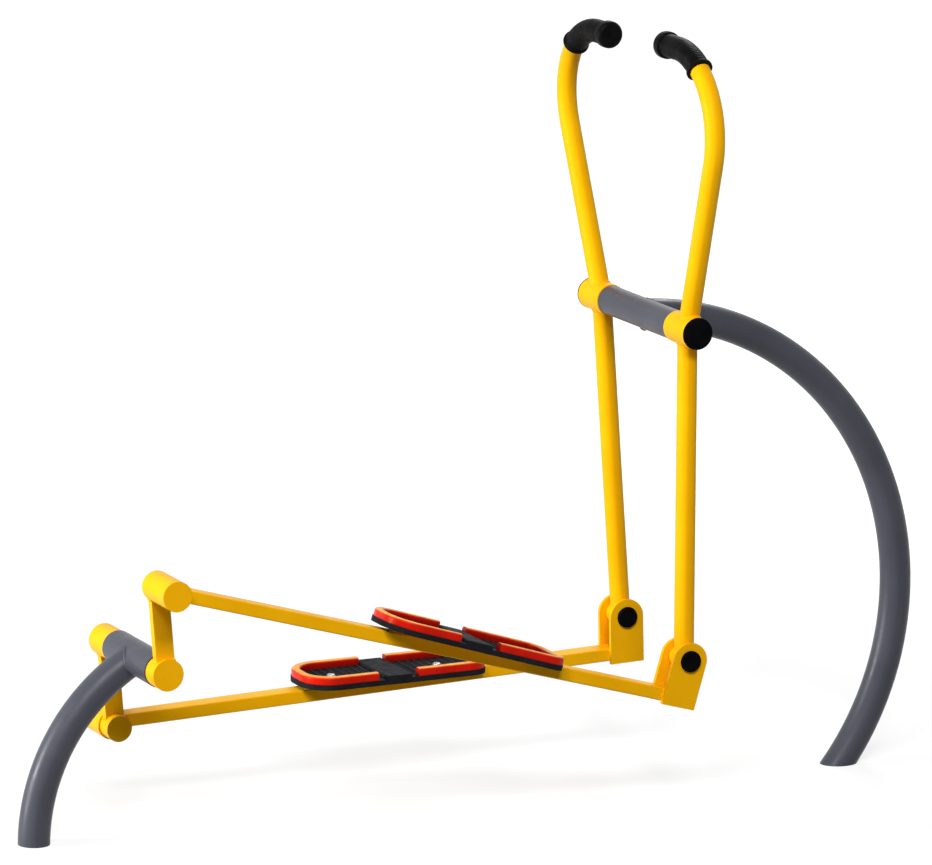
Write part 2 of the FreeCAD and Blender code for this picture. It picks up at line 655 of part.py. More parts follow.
def make_beam(name, side):
    sleeve_high = pin_sleeve_y + pin_sleeve_length
    save("beam_tube_" + name, on_beam(beam_tube(side), side))
    save("beam_plug_" + name, on_beam(beam_plug(), side))
    sleeve = ring(pin_sleeve_od, small_bearing["od"], pin_sleeve_y, sleeve_high)
    save("pin_sleeve_" + name, on_beam(sleeve, side))
    cap_low = sleeve_high + weld_gap
    save("pin_sleeve_cap_" + name, on_beam(rod(pin_sleeve_od, cap_low, cap_low + pin_sleeve_cap), side))
    save("crank_pin_" + name, on_beam(crank_pin(sleeve_high), side))
    outer_seat = sleeve_high - bearing_setback - pin_head_height - small_bearing["width"] - fit_gap
    bearings = [bearing(small_bearing, pin_sleeve_y + bearing_setback), bearing(small_bearing, outer_seat)]
    save_group("pin_bearings_" + name, [on_beam(piece, side) for piece in bearings])

    inner_face = lever_y - beam_width / 2 - weld_gap - cheek_thickness
    outer_face = lever_y + beam_width / 2 + weld_gap + cheek_thickness
    cheeks = [cheek(inner_face), cheek(outer_face - cheek_thickness)]
    save_group("clevis_cheeks_" + name, [on_beam(piece, side) for piece in cheeks])
    seat = outer_face + fit_gap
    shank = rod(clevis_bolt_d, inner_face - clevis_nut_height - fit_gap, seat, beam_run, pivot_above_beam)
    head = rod(clevis_head_od, seat, seat + clevis_head_height, beam_run, pivot_above_beam)
    save("clevis_bolt_" + name, on_beam(shank.fuse(head).removeSplitter(), side))
    nut_high = inner_face - fit_gap
    nut = ring(clevis_head_od, clevis_bolt_d + 2 * fit_gap, nut_high - clevis_nut_height, nut_high,
               beam_run, pivot_above_beam)
    save("clevis_nut_" + name, on_beam(nut, side))
    caps = [clevis_cap(outer_face + weld_gap, 1), clevis_cap(inner_face - weld_gap, -1)]
    save_group("clevis_caps_" + name, [on_beam(piece, side) for piece in caps])

    save("pedal_base_" + name, on_beam(pedal_base(side), side))
    rims = [on_pedal(pedal_rim(way, side), side) for way in (-1, 1)]
    save_group("pedal_rims_" + name, [on_beam(rim, side) for rim in rims])
    save("pedal_bracket_" + name, on_beam(pedal_bracket(side), side))
    bolts = [on_pedal(pedal_bolt(x), side) for x in (-pedal_bolt_spacing / 2, pedal_bolt_spacing / 2)]
    save_group("pedal_bolts_" + name, [on_beam(bolt, side) for bolt in bolts])


os.makedirs("parts", exist_ok=True)
save("rear_post", rear_post())
save("front_post", front_post())
make_housing()
make_crossbar()
make_crank()
for side_name, side_sign in SIDES:
    make_lever(side_name, side_sign)
    make_beam(side_name, side_sign)
    foot_x, foot_z = lever_foot(side_sign)
    pin_x, pin_z = pin_place(side_sign)
    print(side_name, "lever lean", round(math.degrees(lever_lean(side_sign)), 3),
          "beam pitch", round(math.degrees(beam_pitch(side_sign)), 3),
          "foot pivot", round(foot_x, 3), round(foot_z, 3), "crank pin", round(pin_x, 3), round(pin_z, 3))
print("crossbar axis", round(bar_x, 3), bar_height, "crank axis", round(crank_x, 3), crank_height,
      "rear foot", round(rear_x, 3), "lever plane", lever_y)
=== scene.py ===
import math

import bpy
from mathutils import Matrix, Vector


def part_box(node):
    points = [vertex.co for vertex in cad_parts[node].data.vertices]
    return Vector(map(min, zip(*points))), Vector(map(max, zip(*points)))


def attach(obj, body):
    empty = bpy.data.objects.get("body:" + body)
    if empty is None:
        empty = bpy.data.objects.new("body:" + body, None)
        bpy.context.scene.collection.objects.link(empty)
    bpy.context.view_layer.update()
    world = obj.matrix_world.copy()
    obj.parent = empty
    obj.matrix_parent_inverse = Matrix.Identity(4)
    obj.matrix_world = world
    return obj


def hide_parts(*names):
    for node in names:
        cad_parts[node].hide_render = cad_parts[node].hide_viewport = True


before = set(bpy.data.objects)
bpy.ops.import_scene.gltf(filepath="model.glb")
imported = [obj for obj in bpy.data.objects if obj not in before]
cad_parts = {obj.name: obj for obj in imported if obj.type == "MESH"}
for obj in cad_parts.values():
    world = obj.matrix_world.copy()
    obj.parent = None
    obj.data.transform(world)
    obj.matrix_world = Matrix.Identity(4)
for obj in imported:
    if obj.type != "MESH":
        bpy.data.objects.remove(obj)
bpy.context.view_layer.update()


# Camera: behind the machine and to its right, about 13 m away with a long lens. Its place and
# turn were fitted to measured points of the photograph.
sensor_mm, lens_mm, view_limit = 36.0, 273.4, 60.0
camera_place = (-5.5778, -11.7851, 3.3857)
heading, height_angle, roll = math.radians(-25.21), math.radians(11.59), math.radians(0.98)
camera_data = bpy.data.cameras.new("long_lens")
camera_data.sensor_width = sensor_mm
camera_data.lens = lens_mm
camera_data.clip_end = view_limit
camera = bpy.data.objects.new("photo_camera", camera_data)
bpy.context.scene.collection.objects.link(camera)
camera.matrix_world = (
    Matrix.Translation(camera_place)
    @ Matrix.Rotation(heading, 4, "Z")
    @ Matrix.Rotation(math.pi / 2 - height_angle, 4, "X")
    @ Matrix.Rotation(roll, 4, "Z")
)
bpy.context.scene.camera = camera
bpy.context.scene.view_settings.view_transform = "Standard"


# Studio: a pale sheet for a floor and a white surround. Two broad soft boxes stand high on the
# camera's side, a low narrow one at the left of the picture and a weak one high at the back.
white = (1.0, 1.0, 1.0, 1.0)
surround_light, surround_seen = 0.07, 1.0
floor_half = 14.0
floor_colour = (0.30, 0.30, 0.30, 1.0)
glow_near, glow_far = 0.75, 1.0
glow_starts, glow_full = 1.3, 3.2


def seen_directly(tree):
    """1 for rays from the eye, a mirror or glass, 0 for light that falls on the object."""
    path = tree.nodes.new("ShaderNodeLightPath")
    seen = path.outputs["Is Camera Ray"]
    for kind in ("Is Glossy Ray", "Is Transmission Ray"):
        either = tree.nodes.new("ShaderNodeMath")
        either.operation = "MAXIMUM"
        tree.links.new(seen, either.inputs[0])
        tree.links.new(path.outputs[kind], either.inputs[1])
        seen = either.outputs[0]
    return seen


def spread(tree, value, low, high, to_low, to_high):
    """Value between low and high, laid over the range from to_low to to_high."""
    node = tree.nodes.new("ShaderNodeMapRange")
    ends = {"From Min": low, "From Max": high, "To Min": to_low, "To Max": to_high}
    for socket, number in ends.items():
        node.inputs[socket].default_value = number
    tree.links.new(value, node.inputs["Value"])
    return node.outputs["Result"]


def product(tree, first, second):
    """Product of two values."""
    node = tree.nodes.new("ShaderNodeMath")
    node.operation = "MULTIPLY"
    tree.links.new(first, node.inputs[0])
    tree.links.new(second, node.inputs[1])
    return node.outputs[0]


world = bpy.data.worlds.new("white_surround")
bpy.context.scene.world = world
world.use_nodes = True
surround = world.node_tree
surround.nodes.clear()
sky = surround.nodes.new("ShaderNodeBackground")
sky.inputs["Color"].default_value = white
sky_level = spread(surround, seen_directly(surround), 0.0, 1.0, surround_light, surround_seen)
surround.links.new(sky_level, sky.inputs["Strength"])
sky_out = surround.nodes.new("ShaderNodeOutputWorld")
surround.links.new(sky.outputs[0], sky_out.inputs["Surface"])

floor_data = bpy.data.meshes.new("studio_floor")
floor_corners = [(x * floor_half, y * floor_half, 0) for x, y in ((-1, -1), (1, -1), (1, 1), (-1, 1))]
floor_data.from_pydata(floor_corners, [], [(0, 1, 2, 3)])
floor = bpy.data.objects.new("studio_floor", floor_data)
bpy.context.scene.collection.objects.link(floor)
floor_coat = bpy.data.materials.new("pale_floor")
floor_coat.use_nodes = True
sheet = floor_coat.node_tree
sheet.nodes.clear()
matt = sheet.nodes.new("ShaderNodeBsdfDiffuse")
matt.inputs["Color"].default_value = floor_colour
glow = sheet.nodes.new("ShaderNodeEmission")
glow.inputs["Color"].default_value = white
spot = sheet.nodes.new("ShaderNodeTexCoord")
away = sheet.nodes.new("ShaderNodeVectorMath")
away.operation = "LENGTH"
sheet.links.new(spot.outputs["Object"], away.inputs[0])
fade = spread(sheet, away.outputs["Value"], glow_starts, glow_full, glow_near, glow_far)
sheet.links.new(product(sheet, fade, seen_directly(sheet)), glow.inputs["Strength"])
together = sheet.nodes.new("ShaderNodeAddShader")
sheet.links.new(matt.outputs[0], together.inputs[0])
sheet.links.new(glow.outputs[0], together.inputs[1])
sheet_out = sheet.nodes.new("ShaderNodeOutputMaterial")
sheet.links.new(together.outputs[0], sheet_out.inputs["Surface"])
floor_data.materials.append(floor_coat)

for lamp_name, place, aim, width, height, watts in (
        ("key_box", (-4.6, -5.5, 6.4), (0.0, 0.0, 0.6), 2.3, 2.3, 320.0),
        ("front_box", (-1.9, -6.4, 6.8), (0.0, 0.0, 0.6), 2.0, 2.0, 420.0),
        ("strip_box", (-6.3, 1.3, 1.3), (0.0, 0.0, 0.4), 0.9, 2.3, 480.0),
        ("back_box", (3.1, 4.0, 4.8), (0.0, 0.0, 0.6), 2.4, 2.4, 150.0)):
    lamp_data = bpy.data.lights.new(lamp_name, "AREA")
    lamp_data.shape = "RECTANGLE"
    lamp_data.size = width
    lamp_data.size_y = height
    lamp_data.energy = watts
    lamp = bpy.data.objects.new(lamp_name, lamp_data)
    bpy.context.scene.collection.objects.link(lamp)
    lamp.location = place
    lamp.rotation_euler = (Vector(aim) - Vector(place)).to_track_quat("-Z", "Y").to_euler()


# Posts: two runs of 60 mm steel pipe, each bent to one radius, blasted and powder coated in
# slate grey. The baked coat has a fine orange peel, faint clouding and a few dust nibs.
def new_finish(name, roughness, metallic=0.0, specular=0.5, gloss_tint=(1.0, 1.0, 1.0)):
    """Material with one Principled shader, its node tree and its shader."""
    finish = bpy.data.materials.new(name)
    finish.use_nodes = True
    tree = finish.node_tree
    shader = next(node for node in tree.nodes if node.type == "BSDF_PRINCIPLED")
    shader.inputs["Roughness"].default_value = roughness
    shader.inputs["Metallic"].default_value = metallic
    shader.inputs["Specular IOR Level"].default_value = specular
    shader.inputs["Specular Tint"].default_value = (*gloss_tint, 1.0)
    return finish, tree, shader


def noise(tree, per_metre, detail, mix=0.5, stretch=None):
    """Noise in the piece's own coordinates: cells per metre, octaves, and weight of the fine ones."""
    place = tree.nodes.new("ShaderNodeTexCoord")
    texture = tree.nodes.new("ShaderNodeTexNoise")
    texture.inputs["Scale"].default_value = per_metre
    texture.inputs["Detail"].default_value = detail
    texture.inputs["Roughness"].default_value = mix
    source = place.outputs["Object"]
    if stretch:
        mapping = tree.nodes.new("ShaderNodeMapping")
        mapping.inputs["Scale"].default_value = stretch
        tree.links.new(source, mapping.inputs["Vector"])
        source = mapping.outputs["Vector"]
    tree.links.new(source, texture.inputs["Vector"])
    return texture.outputs["Fac"]


def blend_colours(tree, factor, first, second):
    """Colour between two others, each a colour or a socket."""
    node = tree.nodes.new("ShaderNodeMix")
    node.data_type = "RGBA"
    tree.links.new(factor, node.inputs["Factor"])
    for socket, colour in (("A", first), ("B", second)):
        target = next(s for s in node.inputs if s.name == socket and s.type == "RGBA")
        if isinstance(colour, tuple):
            target.default_value = (*colour, 1.0)
        else:
            tree.links.new(colour, target)
    return next(s for s in node.outputs if s.type == "RGBA")


def uneven_gloss(tree, shader, pattern, smooth, dull):
    """Roughness that wanders between two values with a noise pattern."""
    tree.links.new(spread(tree, pattern, 0.3, 0.7, smooth, dull), shader.inputs["Roughness"])


def relief(tree, shader, height, strength, depth, edge_round):
    """Bump from a height, depth metres deep, over edges rounded by edge_round metres."""
    bump = tree.nodes.new("ShaderNodeBump")
    bump.inputs["Strength"].default_value = strength
    bump.inputs["Distance"].default_value = depth
    tree.links.new(height, bump.inputs["Height"])
    edge = tree.nodes.new("ShaderNodeBevel")
    edge.samples = 4
    edge.inputs["Radius"].default_value = edge_round
    tree.links.new(edge.outputs["Normal"], bump.inputs["Normal"])
    tree.links.new(bump.outputs["Normal"], shader.inputs["Normal"])


def powder_coat(name, colour, cloud, nib, roughness, specular, gloss_tint=(1.0, 1.0, 1.0)):
    """Baked coat in a colour, with clouds of a second one and nibs of dust in a third."""
    finish, tree, shader = new_finish(name, roughness, 0.0, specular, gloss_tint)
    clouding = spread(tree, noise(tree, per_metre=9.0, detail=4.0), 0.35, 0.65, 0.0, 1.0)
    base = blend_colours(tree, clouding, colour, cloud)
    nibs = spread(tree, noise(tree, per_metre=420.0, detail=3.0, mix=0.7), 0.68, 0.76, 0.0, 0.5)
    tree.links.new(blend_colours(tree, nibs, base, nib), shader.inputs["Base Color"])
    uneven_gloss(tree, shader, noise(tree, per_metre=34.0, detail=3.0), roughness * 0.85, roughness * 1.25)
    orange_peel = noise(tree, per_metre=700.0, detail=2.0)
    relief(tree, shader, orange_peel, strength=0.25, depth=0.0002, edge_round=0.0008)
    return finish


def coat(finish, *names):
    """Gives CAD pieces a finish on their own material slots."""
    for name in names:
        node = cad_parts[name]
        for place in node.material_slots:
            place.material = finish
        if not node.material_slots:
            node.data.materials.append(finish)


slate_coat = powder_coat("slate_coat", colour=(0.060, 0.063, 0.081), cloud=(0.051, 0.054, 0.070),
                         nib=(0.13, 0.13, 0.14), roughness=0.36, specular=0.20)
coat(slate_coat, "rear_post", "front_post")


# Crank housing and crossbar: short pipes across the tops of the posts. Each post is mitred to
# its pipe and welded all round, and the weld's ripples show through the slate coat.
post_radius = 0.06030 / 2
housing_radius = 0.06350 / 2
bar_radius = 0.05700 / 2
post_end_turn = math.radians(61.4)
arch_lead = math.radians(1.55)
arch_below_bar = 0.0022
bead_half, crossbar_bead_half = 0.0034, 0.0020
bead_rise = 0.8
bead_sides = 8
bead_end_power, bead_end_least = 12, 0.05
ripple_pitch, ripple_step, ripple_depth = 0.0028, 0.0007, 0.16
pipe_sides = 96
length_floor = 1e-9
sideways = Vector((0, 1, 0))


def centre_of(node):
    """Middle of a CAD piece's box."""
    low, high = (Vector(corner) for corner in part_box(node))
    return (low + high) / 2


def circle(sides):
    """Cosines and sines of even steps round a full turn."""
    turns = [2 * math.pi * k / sides for k in range(sides)]
    return [(math.cos(turn), math.sin(turn)) for turn in turns]


def ring_faces(first, rings, sides, closed=False):
    """Faces between rings of points that follow one another from a first point on."""
    faces = []
    for i in range(rings if closed else rings - 1):
        low, high = first + i * sides, first + (i + 1) % rings * sides
        for k in range(sides):
            m = (k + 1) % sides
            faces.append((low + k, low + m, high + m, high + k))
    return faces


def round_outline(along, radius):
    """Points of a tube's outline about its axis, each with the direction that its skin faces."""
    first = along.cross(sideways).normalized()
    second = along.cross(first).normalized()
    skins = [first * cosine + second * sine for cosine, sine in circle(pipe_sides)]
    return [(skin * radius, skin) for skin in skins]


def tube_seam(start, along, outline, host, radius):
    """Where a bar from start meets a round pipe along Y: points and the ways out of the corner."""
    seam = []
    for offset, skin in outline:
        base = start + offset - host
        a = along.x ** 2 + along.z ** 2
        b = base.x * along.x + base.z * along.z
        c = base.x ** 2 + base.z ** 2 - radius ** 2
        point = start + offset + along * ((math.sqrt(max(b * b - a * c, 0.0)) - b) / a)
        away = Vector((point.x - host.x, 0, point.z - host.z)).normalized()
        seam.append((point, (away + skin).normalized()))
    return seam


def evenly(path, step, closed):
    """The path's points at an even step."""
    ends = path + path[:1] if closed else path
    lengths = [0.0]
    for (a, _), (b, _) in zip(ends, ends[1:]):
        lengths.append(lengths[-1] + (b - a).length)
    count = max(4, round(lengths[-1] / step))
    even, span = [], 0
    for i in range(count if closed else count + 1):
        at = lengths[-1] * i / count
        while span < len(ends) - 2 and lengths[span + 1] < at:
            span += 1
        share = (at - lengths[span]) / max(lengths[span + 1] - lengths[span], length_floor)
        even.append((ends[span][0].lerp(ends[span + 1][0], share),
                     ends[span][1].lerp(ends[span + 1][1], share).normalized()))
    return even


def add_piece(name, points, faces, finish, body, inside_out=False):
    """Smooth mesh that rides on a body. Faces that were built inside out are turned round."""
    if inside_out:
        faces = [tuple(reversed(face)) for face in faces]
    data = bpy.data.meshes.new(name)
    data.from_pydata(points, [], faces)
    data.update()
    for face in data.polygons:
        face.use_smooth = True
    data.materials.append(finish)
    piece = bpy.data.objects.new(name, data)
    bpy.context.scene.collection.objects.link(piece)
    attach(piece, body)
    return piece


def weld(name, path, finish, body, closed=True, half=bead_half):
    """Bead laid along a seam, with the overlapping ripples that the torch leaves."""
    ring = evenly(path, ripple_step, closed)
    points = []
    count = len(ring)
    for i, (point, out) in enumerate(ring):
        before = ring[i - 1 if closed or i else 0][0]
        after = ring[(i + 1) % count if closed else min(i + 1, count - 1)][0]
        side = (after - before).cross(out).normalized()
        phase = i * ripple_step / ripple_pitch % 1.0
        wave = half * (1 - ripple_depth * phase)
        if not closed:
            from_middle = abs(2 * i / (count - 1) - 1)
            wave *= math.sqrt(max(bead_end_least, 1 - from_middle ** bead_end_power))
        for cosine, sine in circle(bead_sides):
            points.append(point + out * (bead_rise * wave * cosine) + side * (wave * sine))
    faces = ring_faces(0, count, bead_sides, closed)
    if not closed:
        faces.append(tuple(reversed(range(bead_sides))))
        faces.append(tuple(range((count - 1) * bead_sides, count * bead_sides)))
    return add_piece(name, points, faces, finish, body)


coat(slate_coat, "crank_housing", "crossbar")
crank_centre = centre_of("crank_shaft")
bar_centre = centre_of("crossbar")
down_post = Vector((-math.sin(post_end_turn), 0, -math.cos(post_end_turn)))
housing_seam = tube_seam(crank_centre, down_post, round_outline(down_post, post_radius),
                         crank_centre, housing_radius)
weld("housing_weld", housing_seam, slate_coat, "frame")
down_arch = Vector((math.cos(arch_lead), 0, -math.sin(arch_lead)))
arch_top = bar_centre - Vector((0, 0, arch_below_bar))
crossbar_seam = tube_seam(arch_top, down_arch, round_outline(down_arch, post_radius),
                          bar_centre, bar_radius)
weld("crossbar_weld", crossbar_seam, slate_coat, "frame", half=crossbar_bead_half)


# Crank arms: flat bar between two turned bosses, welded round the shaft's boss and down both
# edges at the pin's, in the golden yellow coat that all the moving steel has.
arm_width, arm_thickness, arm_corner = 0.036, 0.016, 0.0015
arm_inner_y = 0.1325
hub_boss_radius = 0.0603 / 2
pin_boss_radius = {"left": 0.050 / 2, "right": 0.057 / 2}
corner_steps = 24
yellow_coat = powder_coat("yellow_coat", colour=(0.93, 0.47, 0.003), cloud=(0.89, 0.425, 0.002),
                          nib=(0.60, 0.30, 0.01), roughness=0.42, specular=0.14,
                          gloss_tint=(1.0, 0.75, 0.1))
coat(yellow_coat, "crank_arm_left", "crank_arm_right")


def flat_outline(along, deep, wide, corner):
    """Points of a flat bar's outline, deep square to Y and wide along Y, with rounded corners."""
    up = along.cross(sideways).normalized()
    outline = []
    for turn, (far_up, far_out) in enumerate(((1, 1), (-1, 1), (-1, -1), (1, -1))):
        middle = up * far_up * (deep / 2 - corner) + sideways * far_out * (wide / 2 - corner)
        for i in range(corner_steps):
            angle = math.pi / 2 * (turn + i / (corner_steps - 1))
            skin = up * math.cos(angle) + sideways * math.sin(angle)
            outline.append((middle + skin * corner, skin))
    return outline


for side, way in (("left", 1), ("right", -1)):
    pin = centre_of("pin_sleeve_" + side)
    arm_y = way * (arm_inner_y + arm_thickness / 2)
    along = Vector((pin.x - crank_centre.x, 0, pin.z - crank_centre.z)).normalized()
    start = Vector((crank_centre.x, arm_y, crank_centre.z))
    outline = flat_outline(along, arm_width, arm_thickness, arm_corner)
    weld("crank_hub_weld_" + side, tube_seam(start, along, outline, start, hub_boss_radius),
         yellow_coat, "crank")
    across = along.cross(sideways).normalized()
    reach = math.sqrt(pin_boss_radius[side] ** 2 - (arm_width / 2) ** 2)
    for edge_name, edge in (("front", 1), ("back", -1)):
        corner = Vector((pin.x, arm_y, pin.z)) - along * reach + across * edge * arm_width / 2
        out = (across * 2 * edge - along).normalized()
        path = [(corner + sideways * y, out) for y in (-arm_thickness / 2, 0, arm_thickness / 2)]
        weld("crank_pin_weld_%s_%s" % (edge_name, side), path,
             yellow_coat, "crank", closed=False)


# Hand levers: 38 mm tube above and below a bearing sleeve, with a small sleeve at the foot.
# The tubes are mitred to the sleeves and welded round, then coated with them.
lever_radius = 0.038 / 2
hub_sleeve_radius = 0.0603 / 2
foot_sleeve_radius = 0.044 / 2
lever_splay = math.radians(16.5)


def lever_frame(side):
    """Matrix from the lever's own frame, hub at the origin and lever straight down."""
    way = 1 if side == "left" else -1
    hub, foot = centre_of("hub_sleeve_" + side), centre_of("foot_sleeve_" + side)
    lean = math.atan2(foot.x - hub.x, hub.z - foot.z)
    return (Matrix.Translation((hub.x, 0, hub.z)) @ Matrix.Rotation(-lean, 4, "Y")
            @ Matrix.Diagonal((1, way, 1, 1)))


for side in ("left", "right"):
    for stem in ("hub_sleeve_", "upper_tube_", "lower_tube_", "foot_sleeve_"):
        coat(yellow_coat, stem + side)
    hub, foot = centre_of("hub_sleeve_" + side), centre_of("foot_sleeve_" + side)
    splayed = Vector((0, math.sin(lever_splay), math.cos(lever_splay)))
    up = (lever_frame(side).to_3x3() @ splayed).normalized()
    down = (foot - hub).normalized()
    for weld_name, start, along, host, radius in (
            ("upper_weld_", hub, up, hub, hub_sleeve_radius),
            ("lower_weld_", hub, down, hub, hub_sleeve_radius),
            ("foot_weld_", foot, -down, foot, foot_sleeve_radius)):
        weld(weld_name + side, tube_seam(start, along, round_outline(along, lever_radius), host, radius),
             yellow_coat, side + "_lever")


# Foot beams: 40 x 25 mm tube with a bearing sleeve behind and two clevis plates in front,
# welded round the sleeve and up both ends of each plate.
beam_width, beam_depth, beam_corner = 0.040, 0.025, 0.003
beam_length, pivot_above_beam = 1.0815, 0.073
beam_run = math.sqrt(beam_length ** 2 - pivot_above_beam ** 2)
pin_sleeve_radius = 0.057 / 2
cheek_radius = 0.035
cheek_bead_half = 0.0028
lever_y = abs(centre_of("hub_sleeve_left").y)


def beam_frame(side):
    """Matrix from the beam's own frame, crank pin at the origin and beam along X."""
    way = 1 if side == "left" else -1
    pin, foot = centre_of("pin_sleeve_" + side), centre_of("foot_sleeve_" + side)
    pitch = math.atan2(foot.z - pin.z, foot.x - pin.x) - math.atan2(pivot_above_beam, beam_run)
    return (Matrix.Translation((pin.x, 0, pin.z)) @ Matrix.Rotation(-pitch, 4, "Y")
            @ Matrix.Diagonal((1, way, 1, 1)))


for side in ("left", "right"):
    for stem in ("beam_tube_", "beam_plug_", "pin_sleeve_", "pin_sleeve_cap_", "clevis_cheeks_"):
        coat(yellow_coat, stem + side)
    placed = beam_frame(side)
    turned = placed.to_3x3()
    along = (turned @ Vector((1, 0, 0))).normalized()
    start = placed @ Vector((0, lever_y, 0))
    outline = flat_outline(along, beam_depth, beam_width, beam_corner)
    weld("beam_weld_" + side, tube_seam(start, along, outline, start, pin_sleeve_radius),
         yellow_coat, side + "_beam")
    flat_half = (beam_depth - beam_corner) / 2
    for plate, face in (("inner", -1), ("outer", 1)):
        for end_name, end in (("rear", -1), ("front", 1)):
            x, y = beam_run + end * cheek_radius, lever_y + face * beam_width / 2
            out = (turned @ Vector((end, face, 0))).normalized()
            path = [(placed @ Vector((x, y, z)), out) for z in (-flat_half, 0, flat_half)]
            weld("clevis_weld_%s_%s_%s" % (plate, end_name, side), path,
                 yellow_coat, side + "_beam", closed=False, half=cheek_bead_half)


# Machined steel: the shaft, axle, nuts, pins and sealed bearings inside the sleeves, turned
# bright and oiled, with the fine rings that a lathe leaves. The foot bushes are bronze.
def turned_metal(name, colour, dark, roughness):
    """Bare metal with the rings of a lathe in its colour, its gloss and its relief."""
    finish, tree, shader = new_finish(name, roughness, metallic=1.0)
    rings = noise(tree, per_metre=60.0, detail=2.0, stretch=(1.0, 40.0, 1.0))
    tree.links.new(blend_colours(tree, rings, dark, colour), shader.inputs["Base Color"])
    uneven_gloss(tree, shader, rings, roughness * 0.8, roughness * 1.3)
    relief(tree, shader, rings, strength=0.2, depth=0.0001, edge_round=0.0004)
    return finish


bright_steel = turned_metal("bright_steel", colour=(0.62, 0.62, 0.63), dark=(0.42, 0.42, 0.44),
                            roughness=0.3)
bush_bronze = turned_metal("bush_bronze", colour=(0.66, 0.47, 0.25), dark=(0.50, 0.34, 0.17),
                           roughness=0.35)
coat(bright_steel, "crank_bearings", "crossbar_plugs", "crossbar_axle", "axle_washers", "axle_nuts",
     "crank_shaft", "bearing_spacer")
for side in ("left", "right"):
    for stem in ("lever_bearings_", "crank_pin_", "pin_bearings_", "clevis_bolt_", "clevis_nut_"):
        coat(bright_steel, stem + side)
    coat(bush_bronze, "foot_bushes_" + side)


# Seals and caps: rubber lip seals at the housing's ends, and moulded nylon plugs over the
# axle nuts and the clevis bolts, with the fine grain of a spark-eroded mould.
def moulded(name, colour, wear_and_highlight, roughness, specular, grain, depth):
    """Plastic or rubber with worn patches in a second colour, and a grain of so many per metre."""
    finish, tree, shader = new_finish(name, roughness, 0.0, specular)
    rubbed = spread(tree, noise(tree, per_metre=45.0, detail=5.0, mix=0.6), 0.42, 0.68, 0.0, 1.0)
    tree.links.new(blend_colours(tree, rubbed, colour, wear_and_highlight), shader.inputs["Base Color"])
    uneven_gloss(tree, shader, noise(tree, per_metre=80.0, detail=3.0), roughness * 0.85, roughness * 1.2)
    fine_grain = noise(tree, per_metre=grain, detail=2.0)
    relief(tree, shader, fine_grain, strength=0.3, depth=depth, edge_round=0.0007)
    return finish


cap_nylon = moulded("cap_nylon", colour=(0.001, 0.001, 0.0014), wear_and_highlight=(0.003, 0.003, 0.0034),
                    roughness=0.42, specular=0.02, grain=1400.0, depth=0.00015)
grip_rubber = moulded("grip_rubber", colour=(0.001, 0.001, 0.0012), wear_and_highlight=(0.004, 0.004, 0.0043),
                      roughness=0.42, specular=0.04, grain=1600.0, depth=0.0002)
coat(grip_rubber, "crank_seals")
for side in ("left", "right"):
    coat(cap_nylon, "hub_cap_" + side, "clevis_caps_" + side)


# Hand grips: rubber sleeves pushed over the tubes' bent ends, with a collar behind the hand,
# fine ribs under the fingers and a round knob at the end.
grip_radius, lip_clear = 0.0218, 0.0002
rib_height, rib_pitch, rib_steps, rib_clear = 0.0006, 0.0046, 8, 0.0005
collar_radius, collar_length, collar_round = 0.0255, 0.007, 0.002
knob_radius, knob_length, knob_round = 0.026, 0.022, 0.008
bend_radius, bend_height = 0.155, 0.370
tube_end_y, end_wall = 0.076, 0.004
grip_start = {"left": math.radians(49.0), "right": math.radians(54.0)}
grip_sides, collar_steps, shoulder_steps, knob_steps = 48, 6, 8, 12


def grip_line(side, at):
    """Centre of the grip at a length from its lower end, the way it runs, and its full length."""
    rise = bend_height - bend_radius * math.sin(lever_splay)
    centre_y = lever_y + rise * math.tan(lever_splay) - bend_radius * math.cos(lever_splay)
    centre = Vector((0, centre_y, bend_height))
    bent = bend_radius * (math.pi / 2 - grip_start[side])
    turn = grip_start[side] + min(at, bent) / bend_radius
    point = centre + Vector((0, math.cos(turn), math.sin(turn))) * bend_radius
    run = Vector((0, -math.sin(turn), math.cos(turn)))
    return point + run * max(0.0, at - bent), run, bent + centre_y - tube_end_y + end_wall


def quarter_turn(steps):
    """Sines and cosines of even steps over a right angle."""
    turns = [math.pi / 2 * i / steps for i in range(steps + 1)]
    return [(math.sin(turn), math.cos(turn)) for turn in turns]


def grip_profile(length):
    """Radius of the grip along its length, from the tube at the lower end to the closed knob."""
    profile = [(0.0, lever_radius + lip_clear)]
    for sine, cosine in quarter_turn(collar_steps):
        profile.append((collar_round * (1 - cosine), collar_radius - collar_round * (1 - sine)))
    for sine, cosine in quarter_turn(collar_steps):
        profile.append((collar_length - collar_round * (1 - sine),
                        collar_radius - collar_round * (1 - cosine)))
    ribs_end = length - knob_length
    at = collar_length + rib_clear
    while at < ribs_end:
        wave = 0.5 - 0.5 * math.cos(2 * math.pi * (at - collar_length) / rib_pitch)
        profile.append((at, grip_radius + rib_height * math.sqrt(wave)))
        at += rib_pitch / rib_steps
    for sine, cosine in quarter_turn(shoulder_steps):
        profile.append((ribs_end + knob_round / 2 * (1 - cosine),
                        knob_radius - (knob_radius - grip_radius) * (1 - sine)))
    for sine, cosine in quarter_turn(knob_steps):
        profile.append((length - knob_round * (1 - sine), knob_radius - knob_round * (1 - cosine)))
    return profile


for side in ("left", "right"):
    placed = lever_frame(side)
    profile = grip_profile(grip_line(side, 0.0)[2])
    across = Vector((1, 0, 0))
    points = []
    for at, radius in profile:
        middle, run, _ = grip_line(side, at)
        up = across.cross(run)
        for cosine, sine in circle(grip_sides):
            points.append(placed @ (middle + across * radius * cosine + up * radius * sine))
    faces = ring_faces(0, len(profile), grip_sides)
    faces.append(tuple(range((len(profile) - 1) * grip_sides, len(profile) * grip_sides)))
    faces.append(tuple(reversed(range(grip_sides))))
    piece = add_piece("ribbed_grip_" + side, points, faces, grip_rubber, side + "_lever",
                      inside_out=side == "left")
    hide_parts("grip_" + side)


